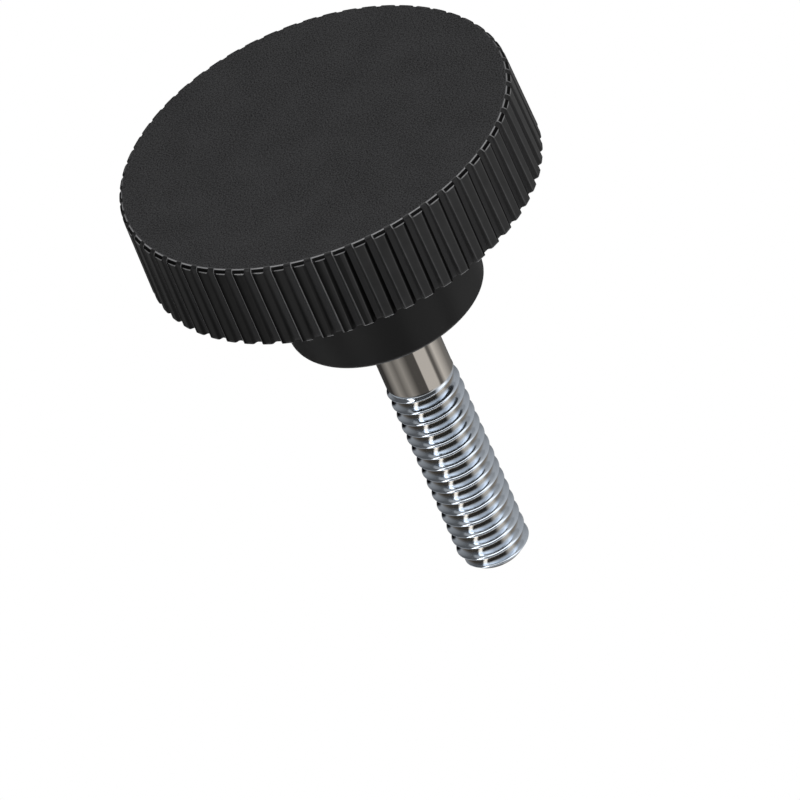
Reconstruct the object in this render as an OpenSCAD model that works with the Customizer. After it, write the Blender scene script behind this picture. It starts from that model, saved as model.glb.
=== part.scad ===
// Thumb screw: a round knurled plastic knob moulded over the head of a threaded steel stud.
// It stands on the flat face of its knob. The origin is the centre of that face, and the
// stud points up along +Z. All sizes are in millimetres.

/* [Knob] */
// Diameter over the lands at the rim's open edge, where the hub starts
rim_d = 35; // [28:0.5:60]
// Height of the knurled rim
rim_h = 7.8; // [5:0.1:16]
// Draft of the rim towards the flat face, in degrees
rim_draft = 1.5; // [0:0.25:4]
// Bevel between the flat face and the rim, across and down
face_bevel = 0.3; // [0.1:0.05:1]

/* [Knurl] */
// Number of straight lands round the rim
land_count = 60; // [24:1:72]
// Depth of the straight grooves at the rim's open edge
groove_depth = 0.4; // [0.2:0.01:0.8]
// Width of a groove's flat floor
groove_floor = 0.5; // [0.2:0.05:0.8]
// Lean of each groove wall from straight in, in degrees
groove_flare = 30; // [10:1:45]

/* [Hub] */
// Diameter of the plain hub
hub_d = 17.5; // [15:0.5:26]
// Height of the hub beyond the rim
hub_h = 10.5; // [3:0.5:20]
// Radius of the hub's end edge
hub_edge = 0.5; // [0.1:0.1:1.5]
// Radius of the fillet where the hub leaves the underside of the rim
hub_root = 0.8; // [0.2:0.1:1.5]

/* [Stud] */
// Length of stud that stands out of the hub
stud_out = 28; // [22:0.5:60]
// Major diameter of the thread
thread_d = 6.35; // [5:0.05:8]
// Pitch of the thread
thread_pitch = 1.27; // [0.5:0.01:1.5]
// Length of the thread, up to the tip
thread_len = 20; // [6:0.5:20]
// Diameter of the plain shank between hub and thread
shank_d = 6; // [4.5:0.05:6.2]

/* [Anchor] */
// Width across the flats of the hexagon that the knob is moulded over
anchor_af = 11; // [9:0.5:12]
// Height of that hexagon
anchor_h = 4; // [2:0.5:6]
// Plastic between the knob's flat face and the hexagon
anchor_cover = 3; // [1.5:0.5:6]

/* [Hidden] */
$fn = 240;

// How far cutting tools reach past what they cut
past = 1;
// Radius over the lands where the bevel starts
rim_r = rim_d / 2;
bevel_r = rim_r - (rim_h - face_bevel) * tan(rim_draft);
face_r = bevel_r - face_bevel;
hub_r = hub_d / 2;
// Heights of the hub's end, of the hexagon's top, of the thread's start and of the tip
hub_z = rim_h + hub_h;
anchor_z = anchor_cover + anchor_h;
tip_z = hub_z + stud_out;
thread_z = tip_z - thread_len;
// Depth of a 60 degree thread with flat crests and a rounded root
thread_depth = 0.6134 * thread_pitch;
root_r = thread_d / 2 - thread_depth;
// Angle of the bevel on the hexagon's corners, from its top plane
anchor_bevel = 30;

// Half of the knob's section, from the axis outwards, with its fillet and rounded edge
module knob_section() {
    difference() {
        union() {
            polygon([
                [0, 0], [face_r, 0], [bevel_r, face_bevel], [rim_r, rim_h], [0, rim_h]
            ]);
            square([hub_r, hub_z]);
            translate([hub_r, rim_h]) square(hub_root);
        }
        translate([hub_r + hub_root, rim_h + hub_root]) circle(hub_root);
        difference() {
            translate([hub_r - hub_edge, hub_z - hub_edge]) square(hub_edge + past);
            translate([hub_r - hub_edge, hub_z - hub_edge]) circle(hub_edge);
        }
    }
}

// One groove tool. Its floor runs straight up the rim, so the drafted lands stand higher
// above it at the open edge than at the bevel
module groove() {
    floor_r = rim_r - groove_depth;
    mouth_r = rim_r + past;
    half_floor = groove_floor / 2;
    half_mouth = half_floor + (mouth_r - floor_r) * tan(groove_flare);
    translate([0, 0, -past])
        linear_extrude(rim_h + 2 * past)
            polygon([
                [floor_r, -half_floor], [mouth_r, -half_mouth],
                [mouth_r, half_mouth], [floor_r, half_floor]
            ]);
}

// The hexagon that keeps the stud from turning or pulling out, bevelled at its corners
module anchor() {
    corner_r = anchor_af / 2 / cos(30);
    bevel_h = (corner_r - anchor_af / 2) * tan(anchor_bevel);
    intersection() {
        translate([0, 0, anchor_cover]) cylinder(h = anchor_h, r = corner_r, $fn = 6);
        rotate_extrude()
            polygon([
                [0, anchor_cover], [anchor_af / 2, anchor_cover],
                [corner_r, anchor_cover + bevel_h], [corner_r, anchor_z], [0, anchor_z]
            ]);
    }
}

// Shank and thread as one turned blank: the thread is its full major diameter here
module blank() {
    shank_r = shank_d / 2;
    thread_r = thread_d / 2;
    rotate_extrude()
        polygon([
            [0, anchor_z - past], [shank_r, anchor_z - past], [shank_r, thread_z],
            [thread_r, thread_z + thread_r - shank_r], [thread_r, tip_z - thread_depth],
            [root_r, tip_z], [0, tip_z]
        ]);
}

module stud_solid() {
    anchor();
    blank();
}

module knob() {
    color([0.05, 0.05, 0.055])
        difference() {
            rotate_extrude() knob_section();
            for (i = [0 : land_count - 1]) rotate(360 / land_count * (i + 0.5)) groove();
            stud_solid();
        }
}

module threaded_stud() {
    color([0.72, 0.74, 0.77]) stud_solid();
}

knob();
threaded_stud();
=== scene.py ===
import math

import bpy
import numpy as np
from mathutils import Matrix, Vector


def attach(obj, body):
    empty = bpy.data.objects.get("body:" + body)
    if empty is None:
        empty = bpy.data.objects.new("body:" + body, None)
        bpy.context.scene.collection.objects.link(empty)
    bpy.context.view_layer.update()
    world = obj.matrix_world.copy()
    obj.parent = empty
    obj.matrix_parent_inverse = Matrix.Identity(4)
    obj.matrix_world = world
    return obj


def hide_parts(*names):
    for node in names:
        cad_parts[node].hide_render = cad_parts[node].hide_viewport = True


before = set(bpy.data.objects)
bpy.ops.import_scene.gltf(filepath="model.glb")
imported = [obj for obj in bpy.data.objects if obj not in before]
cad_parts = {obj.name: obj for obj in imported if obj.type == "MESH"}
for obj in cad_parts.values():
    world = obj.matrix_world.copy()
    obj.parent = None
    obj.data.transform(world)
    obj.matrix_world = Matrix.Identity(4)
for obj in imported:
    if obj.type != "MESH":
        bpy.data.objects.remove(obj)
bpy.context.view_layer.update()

# Every length below is in millimetres, and MM turns it into Blender's metres
MM = 0.001

# The knob, with the sizes of the part's source
RIM_R = 17.5
RIM_H = 7.8
RIM_DRAFT = math.radians(1.5)
FACE_BEVEL = 0.3
BEVEL_R = RIM_R - (RIM_H - FACE_BEVEL) * math.tan(RIM_DRAFT)
FACE_R = BEVEL_R - FACE_BEVEL
LANDS = 60
FLOOR_R = RIM_R - 0.4
FLOOR_HALF = 0.25
GROOVE_FLARE = math.radians(30)
HUB_R = 8.75
HUB_EDGE = 0.5
HUB_ROOT = 0.8
HUB_Z = RIM_H + 10.5

# The stud, with the sizes of the part's source
TIP_Z = HUB_Z + 28.0
THREAD_R = 3.175
THREAD_PITCH = 1.27
THREAD_DEPTH = 0.6134 * THREAD_PITCH
THREAD_Z = TIP_Z - 20.0
SHANK_R = 3.0
ANCHOR_APOTHEM = 5.5
ANCHOR_Z = (3.0, 7.0)
ANCHOR_BEVEL = math.radians(30)

# Softening of the moulded edges, and the largest share of a groove's wall that it takes up
FACE_SOFT = 0.11
LAND_SOFT = 0.08
OPEN_SOFT = 0.12
WALL_SHARE = 0.35

# How deep the grooves still are where they run out over the face's edge
FACE_NOTCH = 0.12

# Directions from the axis to the middles of the grooves
GROOVE_TURNS = 2 * math.pi / LANDS * (np.arange(LANDS) + 0.5)

# Points closer together than a tenth of a micrometre are welded into one
WELDS_PER_MM = 1e4

# The rolled thread: the part of a turn at which its crest starts, half the width of its flat
# crest, its flank's lean, the depth of the root before it is rounded, the widths over which
# crest, root and tip are rounded, and the length over which it swells out of the shank
THREAD_START = 0.2
CREST_HALF = THREAD_PITCH / 16
FLANK_LEAN = math.radians(30)
ROOT_DEPTH = 1.1 * THREAD_DEPTH
CREST_SOFT = 0.2
ROOT_SOFT = 0.5
TIP_SOFT = 0.05
SWELL = 0.55 * THREAD_PITCH

# Facets of the stud round its axis, and the rows of its grid in half a pitch, as fractions of a
# pitch from the crest: over the crest and its edge, down the flank, and round the root
STUD_SIDES = 144
THREAD_ROWS = np.concatenate([
    [0, 0.035, 0.0625, 0.085, 0.12], np.linspace(0.17, 0.36, 4), np.linspace(0.40, 0.5, 4)])

# Painted light on the knurl: 1 where an edge gets a painted highlight, -1 where a painted shade
# line lies. These values go across half a groove and half a land, at the points of groove_half:
# two on the floor, four round the wall's foot, five round the land's edge and three over the
# land.
# The first list of a pair is for the land whose leading edge lies at the groove when the screw is
# tightened, and the second for the land that has its trailing edge there
WHOLE_LAND = ([0.1] * 6 + [0.3, 0.7] + [1] * 6,
              [0.1] * 6 + [0.3, 0.7] + [1] * 6)
TRAILING_PART = ([0] * 11 + [0.5, 1, 1],
                 [0] * 6 + [0.2, 0.6] + [1] * 6)
LEADING_CORNER = ([0] * 7 + [0.4, 0.8, 0.8, 0.3] + [0] * 3,
                  [0] * 14)
HIGHLIGHT_SHADE_LEADING = ([0, 0, 0, 0.05, 0.1, 0.15, 0.3, 0.5, 0.6, 0.45, -0.7, -1, -0.6, 0],
                [0] * 5 + [-0.2, -0.3, -0.2] + [0] * 6)
HIGHLIGHT_SHADE_TRAILING = ([0, 0, 0, -0.1, -0.1, 0, 0.05, 0.12, 0.18, 0.12, 0.06, 0.04, 0.04, 0.04],
                 [0, 0, 0, -0.1, -0.8, -1, -1, -1, -1, -1, -0.9, 0.12, 0.05, 0.04])

# How strongly the first three pairs show at each row of the knob's profile: one row on the face,
# five round its edge, five round the bevel's other edge, five down the lands, five round the
# open edge and three on the underside
# Positive values put painted highlights on the face's edge and the open edge, negative ones
# painted shade on the bevel
WHOLE_ROWS = [0] + [0, 0.2, 1, 0.8, -0.8] + [-1] + [0] * 9 + [0.1, 0.4, 0.6, 0.4, 0.1] + [0] * 3
PART_ROWS = [0] * 6 + [0, 0.1, 1, 0.2, 0] + [0] * 13
CORNER_ROWS = [0] + [0, 0, 0, 0.8, 1] + [1, 0.8, 0.6, 0, 0] + [0] * 13

# Direction from the axis to the front of the rim, where the painted shade lines move from the
# leading to the trailing side of the lands, and how fast they move. Then how strong the edges'
# painted highlights are at the sides of the rim, and the lowest value at its back, where they
# turn into painted shade
PAINTED_LIGHT_FRONT = math.radians(-79)
SHADE_SWAP_RATE = 5
HIGHLIGHT_AT_SIDE = 0.6
HIGHLIGHT_AT_BACK = -0.6

# Colours of the plastic. Shades from 0 to 1 lie between the first two. The third is a painted
# highlight for the edges, the fourth a painted shade beside them
PLASTIC_DARK = (0.012, 0.012, 0.012, 1)
PLASTIC_LIGHT = (0.074, 0.074, 0.0765, 1)
PLASTIC_PAINTED_HIGHLIGHT = (0.42, 0.42, 0.43, 1)
PLASTIC_PAINTED_SHADE = (0.0008, 0.0008, 0.0008, 1)

# Shades of the plastic: in the grooves and underneath, how much painted shade darkens the lands
# and the hub, what the face adds, and what its clouds and its grain add to that at their full
# strength
GROOVE_SHADE = 0.3
LAND_PAINTED_SHADE = 0.3
HUB_PAINTED_SHADE = 0.26
FACE_SHADE = 0.13
CLOUD_SHADE = 0.4
GRAIN_SHADE = 4.0

# Sizes of the lumps of the face's grain, of its clouds and of the patches of the edges' painted
# highlights
GRAIN_SIZE = 0.13
CLOUD_SIZE = 4.0
HIGHLIGHT_PATCH_SIZE = 1.2

# Colours of the plated steel; the last is a painted shade for the thread's roots
SHANK_COLOUR = (0.60, 0.555, 0.50, 1)
THREAD_COLOUR = (0.76, 0.83, 0.92, 1)
ROOT_PAINTED_SHADE = (0.40, 0.36, 0.31, 1)

# The floor: how far it lies under the face, the radii of its rings, and where and how fast, for
# each millimetre further out, it fades away
FLOOR_DROP = 0.02
FLOOR_RINGS = (16.8, 40, 120)
FADE_FROM = 25
FADE_RATE = 0.012

# What the steel mirrors, from the highest band to the lowest: the band's lower and upper edge,
# in degrees above the horizon, and its stops, which are angles round the axis with the level
# there. All bands lie on a sphere round a point of the axis
RING_REACH = 300
RING_CENTRE_Z = 30
RINGS = {
    "upper_ring": ((42, 62), [
        (-180, 0.1), (-110, 0.35), (-60, 0.25), (-40, 0.05), (36, 0.05), (46, 0.5), (66, 0.6),
        (90, 0.35), (180, 0.3)]),
    "shank_ring": ((28, 42), [
        (-180, 0.05), (-126, 0.05), (-92, 0.4), (-68, 0.2), (-46, 0.4), (-20, 0.1), (7, 0.1),
        (10, 0.7), (48, 0.7), (55, 0.15), (62, 0.15), (78, 0.75), (120, 0.25), (180, 0.1)]),
    "flank_ring": ((12, 28), [
        (-180, 0.1), (-112, 0.5), (-86, 0.3), (-62, 0.15), (-58, 1.2), (-38, 1.1), (-10, 0.6),
        (20, 0.55), (56, 0.75), (80, 0.5), (180, 0.3)]),
    "root_ring": ((-45, 12), [
        (-180, 0), (-150, 0), (-146, 0.3), (-120, 0.1), (-71, 0.1), (-69, 3), (-57, 3),
        (-54, 0.05), (20, 0.05), (37, 1.1), (56, 1.3), (74, 0.5), (130, 0.35), (180, 0)]),
    "floor_ring": ((-70, -45), [
        (-180, 0), (-130, 0.25), (-70, 0.5), (-50, 1.6), (50, 1.6), (70, 0.5), (110, 0.3),
        (180, 0)]),
}

# The camera: a long lens, with the stud leaning away from the line of sight by STUD_TILT and
# heading down and right in the picture by STUD_HEADING. FACE_PIXEL is where it sees the face's
# centre, in a square picture of PICTURE pixels, and CLIP is the range of distances that it sees
PICTURE = 800
LENS = 500.0
SENSOR = 36.0
CLIP = (50, 20000)
STUD_TILT = math.radians(55.19)
STUD_HEADING = math.radians(65.98)
FACE_PIXEL = (313.2, 135.6)
FACE_DISTANCE = 922.5
CAMERA_SPIN = math.radians(180.77)

# The point that the lamps look at, and the level of the white world that lights
LAMP_TARGET = (0, 0, 15)
WORLD_LEVEL = 0.3


def blend_corner(before, corner, after, steps):
    """A corner rounded by a parabola: the curve that leaves the first point towards the corner
    and arrives at the last point from it, as steps + 1 points."""
    before, corner, after = np.array(before), np.array(corner), np.array(after)
    t = np.linspace(0, 1, steps + 1)[:, None]
    return (1 - t) ** 2 * before + 2 * t * (1 - t) * corner + t**2 * after


def arc(centre, radius, start, end, steps):
    """Points on a circle of the profile plane, from the start angle to the end angle in
    degrees."""
    a = np.radians(np.linspace(start, end, steps + 1))
    return np.stack([centre[0] + radius * np.cos(a), centre[1] + radius * np.sin(a)], 1)


def closed(grid):
    """A grid whose rows go once round the axis and end on their first column."""
    return np.concatenate([grid, grid[:, :1]], 1)


def sheet(points, painted_light=None):
    """Vertices and quads of an open grid of points, rows by columns. Each vertex carries its
    painted highlight, positive, and painted shade, negative, as a fourth number."""
    rows, cols = points.shape[:2]
    k = np.arange(rows * cols).reshape(rows, cols)
    quads = np.stack([k[:-1, :-1], k[:-1, 1:], k[1:, 1:], k[1:, :-1]], -1)
    painted_light = np.zeros((rows, cols)) if painted_light is None else painted_light
    return np.concatenate([points, painted_light[:, :, None]], -1).reshape(-1, 4), quads.reshape(-1, 4)


def weld(sheets):
    """One closed shell from several grids: points in the same place become one, quads that lose
    a corner become triangles, and those that lose more vanish."""
    starts = np.cumsum([0] + [len(v) for v, _ in sheets[:-1]])
    points = np.concatenate([v for v, _ in sheets])
    quads = np.concatenate([q + s for (_, q), s in zip(sheets, starts)])
    _, first, index = np.unique(np.round(points[:, :3] * WELDS_PER_MM), axis=0,
                                return_index=True, return_inverse=True)
    points, quads = points[first], index.reshape(-1)[quads]
    same = quads == np.roll(quads, -1, axis=1)
    whole = quads[same.sum(1) == 0]
    halved = quads[same.sum(1) == 1]
    keep = ~same[same.sum(1) == 1]
    return points, whole, halved[keep].reshape(-1, 3)


def outward(points, quads, triangles):
    """Faces turned so that the shell's volume, the sum of its tetrahedra to the origin, is
    positive."""
    corners = np.concatenate([quads[:, [0, 1, 2]], quads[:, [0, 2, 3]], triangles])
    a, b, c = (points[corners[:, k], :3] for k in range(3))
    if np.einsum("ij,ij->i", a, np.cross(b, c)).sum() < 0:
        return quads[:, ::-1], triangles[:, ::-1]
    return quads, triangles


def piece(name, sheets, material, node):
    """A smooth-shaded object from welded grids in millimetres, in place of a solid of the
    part."""
    points, quads, triangles = weld(sheets)
    quads, triangles = outward(points, quads, triangles)
    mesh = bpy.data.meshes.new(name)
    mesh.from_pydata((points[:, :3] * MM).tolist(), [], quads.tolist() + triangles.tolist())
    mesh.polygons.foreach_set("use_smooth", np.ones(len(mesh.polygons), bool))
    # The attribute holds the knurl's painted highlights and painted shade
    painted_light = mesh.attributes.new("painted_light", "FLOAT", "POINT")
    painted_light.data.foreach_set("value", points[:, 3].astype(np.float32))
    mesh.materials.append(material)
    shape = bpy.data.objects.new(name, mesh)
    bpy.context.scene.collection.objects.link(shape)
    # Large faces keep their own shading, and the rounded edges turn between them
    evened = shape.modifiers.new("evened shading", "WEIGHTED_NORMAL")
    evened.mode = "FACE_AREA"
    evened.weight = 100
    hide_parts(node)
    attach(shape, "root")


def turned(profile, angles):
    """A profile of (radius, height) points turned round the axis at the given angles. Radii may
    be one number a row or a whole row of numbers."""
    radius = np.array([np.broadcast_to(r, angles.shape) for r, _ in profile])
    height = np.array([np.broadcast_to(z, angles.shape) for _, z in profile])
    return np.stack([radius * np.cos(angles), radius * np.sin(angles), height], -1)


def hexagon(angles):
    """Distance from the axis to the anchor's flats, with a corner on +X."""
    return ANCHOR_APOTHEM / np.cos(np.mod(angles, math.pi / 3) - math.pi / 6)


def anchor_profile(angles):
    """The anchor's end face, bevelled corners, flats and seat, from the axis out and back to the
    shank. The bevel is a cone that trims the hexagon, the smaller radius of the two."""
    low, high = ANCHOR_Z
    hexa = hexagon(angles)
    rise = (hexa.max() - ANCHOR_APOTHEM) * math.tan(ANCHOR_BEVEL)
    run = rise / math.tan(ANCHOR_BEVEL)
    rows = [(0.0, low), (ANCHOR_APOTHEM / 2, low)]
    for t in (0, 0.25, 0.5, 0.75, 1):
        rows.append((np.minimum(hexa, ANCHOR_APOTHEM + t * run), low + t * rise))
    return rows + [(hexa, high), (SHANK_R, high)]


def groove_half(land_r):
    """Half of one land and half of the groove beside it, for each radius over the lands: from
    the groove's middle along its flat floor, up the flared wall and over the land to its middle.
    The floor is straight until it meets the bevel, the land is an arc, and both corners are
    rounded."""
    rows = []
    for r in land_r:
        floor = min(FLOOR_R, r - FACE_NOTCH)
        lean = math.tan(GROOVE_FLARE)
        # The wall climbs by `climb` where its point is as far from the axis as the land
        a, b = 1 + lean**2, 2 * (floor + FLOOR_HALF * lean)
        c = floor**2 + FLOOR_HALF**2 - r**2
        climb = (-b + math.sqrt(b * b - 4 * a * c)) / (2 * a)
        foot = np.array([floor, FLOOR_HALF])
        top = foot + climb * np.array([1, lean])
        height = np.linalg.norm(top - foot)
        wall = (top - foot) / height
        soft = min(LAND_SOFT, WALL_SHARE * height)
        over = math.atan2(top[1], top[0]) + soft / r
        on_land = np.array([r * math.cos(over), r * math.sin(over)])
        land = over + (math.pi / LANDS - over) * np.array([0.22, 0.5, 1])
        rows.append(np.concatenate([
            [[floor, 0], [floor, FLOOR_HALF / 2]],
            blend_corner(foot - [0, soft], foot, foot + soft * wall, 3),
            blend_corner(top - soft * wall, top, on_land, 4),
            np.stack([r * np.cos(land), r * np.sin(land)], 1),
        ]))
    return np.array(rows)


def knurled(profile):
    """Rows of points round the rim for a profile of (radius over the lands, height): one groove
    and its two half lands, repeated round the axis by turning it."""
    half = groove_half(profile[:, 0])
    mirrored = half[:, :0:-1] * [1, -1]
    pitch = np.concatenate([mirrored, half], 1)[:, :-1]
    c, s = np.cos(GROOVE_TURNS)[:, None], np.sin(GROOVE_TURNS)[:, None]
    x = pitch[:, None, :, 0] * c - pitch[:, None, :, 1] * s
    y = pitch[:, None, :, 0] * s + pitch[:, None, :, 1] * c
    x, y = x.reshape(len(half), -1), y.reshape(len(half), -1)
    z = np.broadcast_to(profile[:, 1:2], x.shape)
    return closed(np.stack([x, y, z], -1))


def groove_painted_light(leading, trailing):
    """Painted light over one groove and its two half lands, in the order of knurled's points."""
    return np.concatenate([leading[:0:-1], trailing])[:-1]


def rim_painted_light(profile):
    """Painted light at knurled's points. Painted highlights lie along the rim's edges, over whole
    lands, over their trailing parts and round their leading corners. Painted shade lines lie on
    the leading side of the lands on one half of the rim, and on their trailing side on the other
    half.
    Round the back of the rim the edges get painted shade instead of highlights."""
    whole, part, corner = (np.tile(groove_painted_light(*pair), LANDS)
                           for pair in (WHOLE_LAND, TRAILING_PART, LEADING_CORNER))
    rows = np.array([WHOLE_ROWS, PART_ROWS, CORNER_ROWS])[:, :, None]
    edge = rows[0] * whole + rows[1] * part
    near, other = groove_painted_light(*HIGHLIGHT_SHADE_LEADING), groove_painted_light(*HIGHLIGHT_SHADE_TRAILING)
    change = np.clip(0.5 + SHADE_SWAP_RATE * np.sin(PAINTED_LIGHT_FRONT - GROOVE_TURNS), 0, 1)[:, None]
    on_lands = (profile[:, 1] > FACE_BEVEL) & (profile[:, 0] > FLOOR_R)
    side = (near + change * (other - near)).reshape(-1) * on_lands[:, None]
    painted_light = np.where(np.abs(edge) > np.abs(side), edge, side)
    hooked = rows[2] * corner
    painted_light = np.where(hooked > 0, hooked, painted_light)
    highlight_level = np.clip(HIGHLIGHT_AT_SIDE + np.cos(GROOVE_TURNS - PAINTED_LIGHT_FRONT), HIGHLIGHT_AT_BACK, 1)
    return closed(np.where(painted_light > 0, painted_light * np.repeat(highlight_level, len(near)), painted_light))


def make_knob(material):
    """The moulding as one shell: face, bevel, knurled rim, underside, hub, and the cavity round
    the stud's shank and anchor."""
    # Plain numbers here and below place rows that only split a long face
    down_lands = (0.5, 2.0, 4.0, 6.0, RIM_H - 0.3)
    slant = FACE_SOFT * math.sqrt(0.5)
    profile = np.concatenate([
        [[FACE_R - 0.3, 0]],
        blend_corner([FACE_R - FACE_SOFT, 0], [FACE_R, 0], [FACE_R + slant, slant], 4),
        blend_corner([BEVEL_R - slant, FACE_BEVEL - slant], [BEVEL_R, FACE_BEVEL],
                     [BEVEL_R, FACE_BEVEL + FACE_SOFT], 4),
        [[RIM_R - (RIM_H - z) * math.tan(RIM_DRAFT), z] for z in down_lands],
        blend_corner([RIM_R, RIM_H - OPEN_SOFT], [RIM_R, RIM_H], [RIM_R - OPEN_SOFT, RIM_H], 4),
        [[FLOOR_R + 0.12, RIM_H], [FLOOR_R - 0.1, RIM_H], [FLOOR_R - 0.5, RIM_H]],
    ])
    rim = knurled(profile)
    # The rows beyond either end of the rim's grid keep the directions of its last points
    inner, last = rim[0, :, :2].T, rim[-1, :, :2].T
    face_radii = (0, 4, 8, 12, 15, np.hypot(*inner))
    face = turned([(r, 0) for r in face_radii], np.arctan2(inner[1], inner[0]))
    angles = np.arctan2(last[1], last[0])
    hub = np.concatenate([
        arc((HUB_R + HUB_ROOT, RIM_H + HUB_ROOT), HUB_ROOT, 270, 180, 8),
        [[HUB_R, 12], [HUB_R, 15]],
        arc((HUB_R - HUB_EDGE, HUB_Z - HUB_EDGE), HUB_EDGE, 0, 90, 8),
        [[6, HUB_Z], [4, HUB_Z], [SHANK_R, HUB_Z]],
    ])
    outer = turned([(np.hypot(*last), RIM_H), (13, RIM_H), (10.5, RIM_H), *hub], angles)
    cavity = turned([(SHANK_R, HUB_Z), *anchor_profile(angles)[::-1]], angles)
    sheets = [sheet(rim, rim_painted_light(profile)), sheet(face), sheet(outer), sheet(cavity)]
    piece("knob_moulding", sheets, material, "knob")


def softer(a, b, width):
    """The smaller of two heights, rounded where they cross over the given width."""
    mix = np.clip(0.5 + 0.5 * (b - a) / width, 0, 1)
    return b + (a - b) * mix - width * mix * (1 - mix)


def thread_radius(angles, height):
    """Distance from the axis to the rolled thread: a 60 degree ridge with a flat crest and a
    rounded root, which climbs one pitch in a turn. It swells out of the shank over about half a
    pitch and is cut off at the tip by a cone."""
    turns = height / THREAD_PITCH - angles / (2 * math.pi) + THREAD_START
    off_crest = np.abs(np.mod(turns, 1) - 0.5) * THREAD_PITCH
    ridge = softer((CREST_HALF - off_crest) / math.tan(FLANK_LEAN), 0, CREST_SOFT)
    ridge = -softer(-ridge, ROOT_DEPTH, ROOT_SOFT)
    full = THREAD_R + np.minimum(ridge, 0)
    swell = np.clip((height - THREAD_Z) / SWELL, 0, 1)
    swell = swell * swell * (3 - 2 * swell)
    cone = THREAD_R - THREAD_DEPTH + (TIP_Z - height)
    return softer(SHANK_R + (full - SHANK_R) * swell, cone, TIP_SOFT)


def make_stud(material):
    """The screw as one shell: anchor, shank, thread and end face. The thread's grid climbs with
    the helix, so that its rows follow the crest, and heights past either end are held at that
    end, where the rows close on a level ring."""
    angles = np.linspace(0, 2 * math.pi, STUD_SIDES + 1)
    blank = turned([*anchor_profile(angles), (SHANK_R, 12), (SHANK_R, HUB_Z),
                    (SHANK_R, THREAD_Z - 0.3), (thread_radius(angles, THREAD_Z), THREAD_Z)],
                   angles)
    steps = np.sort(np.concatenate([THREAD_ROWS, 1 - THREAD_ROWS[1:-1]]))
    turns = np.arange(-2, math.ceil((TIP_Z - THREAD_Z) / THREAD_PITCH) + 2)
    climb = (turns[:, None] + steps).reshape(-1) + 0.5 - THREAD_START
    base = math.floor(THREAD_Z / THREAD_PITCH)
    height = (base + climb[:, None] + angles / (2 * math.pi)) * THREAD_PITCH
    height = np.clip(height, THREAD_Z, TIP_Z)
    radius = thread_radius(angles, height)
    thread = np.stack([radius * np.cos(angles), radius * np.sin(angles), height], -1)
    end = turned([(thread_radius(angles, TIP_Z), TIP_Z), (1.2, TIP_Z), (0, TIP_Z)], angles)
    sheets = [sheet(blank), sheet(thread), sheet(end)]
    piece("plated_stud", sheets, material, "threaded_stud")


class Value:
    """A number that varies over a surface. Arithmetic on it adds Math nodes."""

    def __init__(self, tree, socket):
        self.tree = tree
        self.socket = socket

    def math(self, operation, *others):
        made = self.tree.nodes.new("ShaderNodeMath")
        made.operation = operation
        for slot, item in zip(made.inputs, others):
            if isinstance(item, Value):
                self.tree.links.new(item.socket, slot)
            else:
                slot.default_value = item
        return Value(self.tree, made.outputs[0])

    def __add__(self, other):
        return self.math("ADD", self, other)

    __radd__ = __add__

    def __sub__(self, other):
        return self.math("SUBTRACT", self, other)

    def __rsub__(self, other):
        return self.math("SUBTRACT", other, self)

    def __mul__(self, other):
        return self.math("MULTIPLY", self, other)

    __rmul__ = __mul__

    def __truediv__(self, other):
        return self.math("DIVIDE", self, other)

    def clamp(self):
        return self.math("MINIMUM", self.math("MAXIMUM", self, 0.0), 1.0)

    def above(self, start, steepness):
        """0 up to the start, then rising by the steepness for each unit until it reaches 1."""
        return ((self - start) * steepness).clamp()


class Nodes:
    """A node tree under construction."""

    def __init__(self, tree):
        self.tree = tree

    def node(self, kind, settings=None, inputs=None, output=0):
        """A node of the given type, with its settings made first and its sockets filled next.
        Returns one of its outputs."""
        made = self.tree.nodes.new(kind)
        for key, item in (settings or {}).items():
            setattr(made, key, item)
        for key, item in (inputs or {}).items():
            self.feed(made.inputs[key], item)
        return Value(self.tree, made.outputs[output])

    def feed(self, socket, item):
        if isinstance(item, Value):
            self.tree.links.new(item.socket, socket)
        else:
            socket.default_value = item


class Finish(Nodes):
    """A material under construction."""

    def __init__(self, name):
        self.material = bpy.data.materials.new(name)
        self.material.use_nodes = True
        super().__init__(self.material.node_tree)
        self.shader = self.tree.nodes["Principled BSDF"]

    def show(self, surface):
        """Puts a shader on the surface in place of the principled one."""
        self.feed(self.tree.nodes["Material Output"].inputs["Surface"], surface)

    def set(self, **sockets):
        """Sets or links the shader's sockets, named with underscores for spaces."""
        for key, item in sockets.items():
            self.feed(self.shader.inputs[key.replace("_", " ")], item)

    def place(self):
        return self.node("ShaderNodeTexCoord", output="Object")

    def height(self):
        """Distance above the face, in millimetres."""
        xyz = self.node("ShaderNodeSeparateXYZ", inputs={"Vector": self.place()}, output="Z")
        return xyz * (1 / MM)

    def radius(self):
        """Distance from the axis, in millimetres."""
        flat = self.node("ShaderNodeVectorMath", {"operation": "MULTIPLY"},
                         {0: self.place(), 1: (1, 1, 0)})
        length = self.node("ShaderNodeVectorMath", {"operation": "LENGTH"}, {0: flat},
                           output="Value")
        return length * (1 / MM)

    def noise(self, size, detail=2.0, roughness=0.5):
        """Noise from 0 to 1 whose lumps are about this size, in millimetres."""
        return self.node("ShaderNodeTexNoise", inputs={
            "Vector": self.place(), "Scale": 1 / (size * MM), "Detail": detail,
            "Roughness": roughness})

    def bump(self, height, distance, strength):
        """A normal from a height that is 1 at the given distance, in millimetres."""
        return self.node("ShaderNodeBump", inputs={
            "Height": height, "Distance": distance * MM, "Strength": strength})

    def mix(self, factor, low, high):
        """A colour between two others."""
        return self.node("ShaderNodeMix", {"data_type": "RGBA"}, {0: factor, 6: low, 7: high},
                         output=2)


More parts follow.
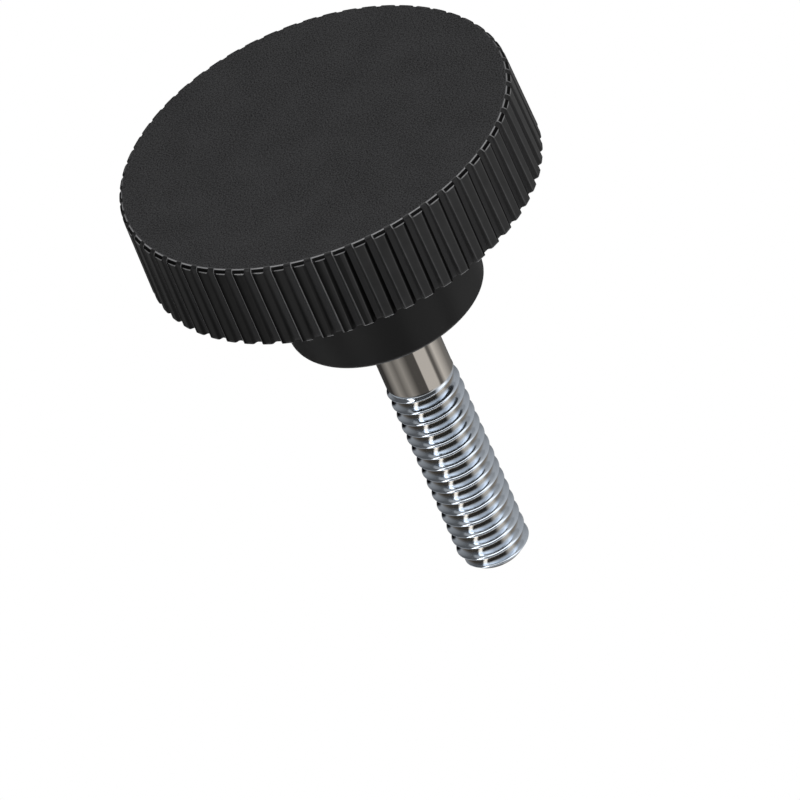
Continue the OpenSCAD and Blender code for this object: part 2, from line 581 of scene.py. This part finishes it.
def moulded_plastic():
    """Black plastic: a fine spark-eroded grain on the flat face, painted shade that darkens the
    lands and a smooth hub, painted highlights along the edges, and painted shade lines beside
    them."""
    finish = Finish("moulded_plastic")
    # The attribute is positive for painted highlights and negative for painted shade
    light_paint = finish.node("ShaderNodeAttribute", {"attribute_name": "painted_light"}, output="Fac")
    painted_highlight = light_paint.clamp() * (0.6 + 0.8 * finish.noise(HIGHLIGHT_PATCH_SIZE))
    painted_shade = (0 - light_paint).clamp()
    # Each of these is 1 on its area and blends out over a fraction of a millimetre
    on_face = (1 - finish.height() * 20).clamp()
    on_land = finish.radius().above(FLOOR_R + 0.1, 12) * (1 - on_face)
    on_hub = finish.height().above(RIM_H, 4)
    grain = finish.noise(GRAIN_SIZE, roughness=0.6)
    cloud = finish.noise(CLOUD_SIZE)
    face_shade = FACE_SHADE + CLOUD_SHADE * cloud + GRAIN_SHADE * (grain - 0.5)
    # Painted shade makes the lands and the hub darker than the grooves and the face
    shade = on_face * face_shade + GROOVE_SHADE - LAND_PAINTED_SHADE * on_land - HUB_PAINTED_SHADE * on_hub
    plain = finish.mix(shade.clamp(), PLASTIC_DARK, PLASTIC_LIGHT)
    highlighted = finish.mix(painted_highlight, plain, PLASTIC_PAINTED_HIGHLIGHT)
    finish.set(
        Base_Color=finish.mix(painted_shade, highlighted, PLASTIC_PAINTED_SHADE),
        Specular_IOR_Level=0.03,
        Roughness=0.4 + on_face * 0.15 + 0.05 * (cloud - 0.5),
        Coat_Weight=((1 - painted_shade) * 0.3 + on_hub * 0.05 + painted_highlight * 2).clamp(),
        Coat_Roughness=0.28,
        Normal=finish.bump(grain * on_face, 0.02, 0.5))
    return finish.material


def plated_steel():
    """Plated steel: a warm polished shank, and a rolled thread with cooler, satin flanks and
    painted shade that darkens its roots."""
    finish = Finish("plated_steel")
    on_thread = finish.height().above(THREAD_Z, 4)
    # The painted shade in the roots starts halfway down the flanks
    depth = (THREAD_R - finish.radius()) / THREAD_DEPTH
    in_root = depth.above(0.5, 4) * on_thread
    plating = finish.mix(on_thread, SHANK_COLOUR, THREAD_COLOUR)
    finish.set(
        Metallic=1.0,
        Base_Color=finish.mix(in_root, plating, ROOT_PAINTED_SHADE),
        Roughness=0.06 + 0.06 * on_thread)
    return finish.material


def stage_sheet(name, points, material, unseen_by):
    """A one-sided sheet of the studio from a grid of points in millimetres, which rays of some
    kinds pass by."""
    vertices, quads = sheet(points)
    mesh = bpy.data.meshes.new(name)
    mesh.from_pydata((vertices[:, :3] * MM).tolist(), [], quads.tolist())
    mesh.materials.append(material)
    shape = bpy.data.objects.new(name, mesh)
    bpy.context.scene.collection.objects.link(shape)
    for ray in unseen_by:
        setattr(shape, "visible_" + ray, False)
    return shape


def place_floor():
    """A pale floor just under the knob's face, a disc with a hole that the face covers. Seen from
    above it shows the screw's shadow and fades out into the white round it. From below it is
    clear, because the photograph looks at the face, and the lamps that light the face shine
    through it."""
    finish = Finish("floor")
    finish.set(Base_Color=(0.86, 0.86, 0.86, 1), Roughness=0.9, Specular_IOR_Level=0.0)
    clear = finish.node("ShaderNodeBsdfTransparent")
    below = finish.node("ShaderNodeNewGeometry", output="Backfacing")
    faded = finish.radius().above(FADE_FROM, FADE_RATE)
    shown = finish.node("ShaderNodeMixShader", inputs={
        0: (below + faded).clamp(), 1: Value(finish.tree, finish.shader.outputs[0]), 2: clear})
    finish.show(shown)
    angles = np.linspace(0, 2 * math.pi, 121)
    rings = turned([(r, -FLOOR_DROP) for r in FLOOR_RINGS], angles)
    stage_sheet("floor", rings[::-1], finish.material,
                ("diffuse", "glossy", "transmission", "shadow"))


def place_ring(name, rise, stops, facing):
    """A band of the studio that only reflections show. The angles of its stops are counted from
    the camera's side towards the picture's right, and the level blends evenly between them."""
    finish = Finish(name)
    level = finish.node("ShaderNodeAttribute", {"attribute_name": "level"}, output="Color")
    finish.show(finish.node("ShaderNodeEmission", inputs={"Color": level, "Strength": 1.0}))
    around = np.linspace(-180, 180, 361)
    turn = math.atan2(facing[1], facing[0]) - np.radians(around)
    points = turned([(RING_REACH * math.cos(r), RING_CENTRE_Z + RING_REACH * math.sin(r))
                     for r in np.radians(np.linspace(*rise, 9))], turn)
    ring = stage_sheet(name, points, finish.material,
                       ("camera", "diffuse", "transmission", "shadow", "volume_scatter"))
    tone = np.interp(around, *zip(*stops))
    colours = np.stack([tone, tone, tone, np.ones_like(tone)], -1)
    colours = np.broadcast_to(colours, (len(points), *colours.shape)).astype(np.float32)
    levels = ring.data.attributes.new("level", "FLOAT_COLOR", "POINT")
    levels.data.foreach_set("color", colours.ravel())


def place_camera():
    """Works in the camera's own axes, right, down and forward, and turns them into the part's.
    Returns the picture's right and up, and the direction back towards the camera."""
    focal = LENS / SENSOR * PICTURE
    sideways = math.sin(STUD_TILT)
    stud = Vector((sideways * math.cos(STUD_HEADING), sideways * math.sin(STUD_HEADING),
                   math.cos(STUD_TILT)))
    side = stud.cross(Vector((0, 0, 1))).normalized()
    across = stud.cross(side)
    x_axis = side * math.cos(CAMERA_SPIN) + across * math.sin(CAMERA_SPIN)
    to_part = Matrix((x_axis, stud.cross(x_axis), stud))
    u, v = ((pixel - PICTURE / 2) / focal for pixel in FACE_PIXEL)
    face = Vector((u, v, 1)) * FACE_DISTANCE * MM
    right, down, ahead = (to_part @ Vector(axis) for axis in ((1, 0, 0), (0, 1, 0), (0, 0, 1)))
    data = bpy.data.cameras.new("camera")
    data.lens = LENS
    data.sensor_width = SENSOR
    data.clip_start, data.clip_end = CLIP[0] * MM, CLIP[1] * MM
    camera = bpy.data.objects.new("camera", data)
    axes = Matrix((right, -down, -ahead)).transposed().to_4x4()
    camera.matrix_world = Matrix.Translation(-(to_part @ face)) @ axes
    bpy.context.scene.collection.objects.link(camera)
    bpy.context.scene.camera = camera
    return right, -down, -ahead


def lamp(name, direction, distance, size, power):
    """A square soft box that looks at the target from a direction. Reflections don't show it."""
    data = bpy.data.lights.new(name, "AREA")
    data.size = size * MM
    data.energy = power
    target = Vector(LAMP_TARGET) * MM
    box = bpy.data.objects.new(name, data)
    box.location = target + Vector(direction).normalized() * distance * MM
    box.rotation_euler = (target - box.location).to_track_quat("-Z", "Y").to_euler()
    box.visible_glossy = False
    bpy.context.scene.collection.objects.link(box)


def light_world():
    """An even white world that lights softly. The camera, reflections and glass see it as plain
    white."""
    world = bpy.data.worlds.new("studio")
    world.use_nodes = True
    nodes = Nodes(world.node_tree)
    camera, glossy, through = (nodes.node("ShaderNodeLightPath", output="Is %s Ray" % ray)
                               for ray in ("Camera", "Glossy", "Transmission"))
    lit, seen = (nodes.node("ShaderNodeBackground", inputs={
        "Color": (1, 1, 1, 1), "Strength": level}) for level in (WORLD_LEVEL, 1.0))
    shown = nodes.node("ShaderNodeMixShader", inputs={
        0: (camera + glossy + through).clamp(), 1: lit, 2: seen})
    nodes.feed(nodes.tree.nodes["World Output"].inputs["Surface"], shown)
    bpy.context.scene.world = world


bpy.context.scene.view_settings.view_transform = "Standard"
right, up, back = place_camera()
place_floor()
light_world()
lamp("key", back * 0.5 + up * 0.7 - right * 0.2, distance=500, size=400, power=1.0)
lamp("fill", back * 0.3 + right * 1.0 - up * 0.1, distance=600, size=300, power=0.5)
lamp("top", (0.2, -0.3, 1), distance=500, size=400, power=1.6)
for name, (rise, stops) in RINGS.items():
    place_ring(name, rise, stops, back)
make_knob(moulded_plastic())
make_stud(plated_steel())
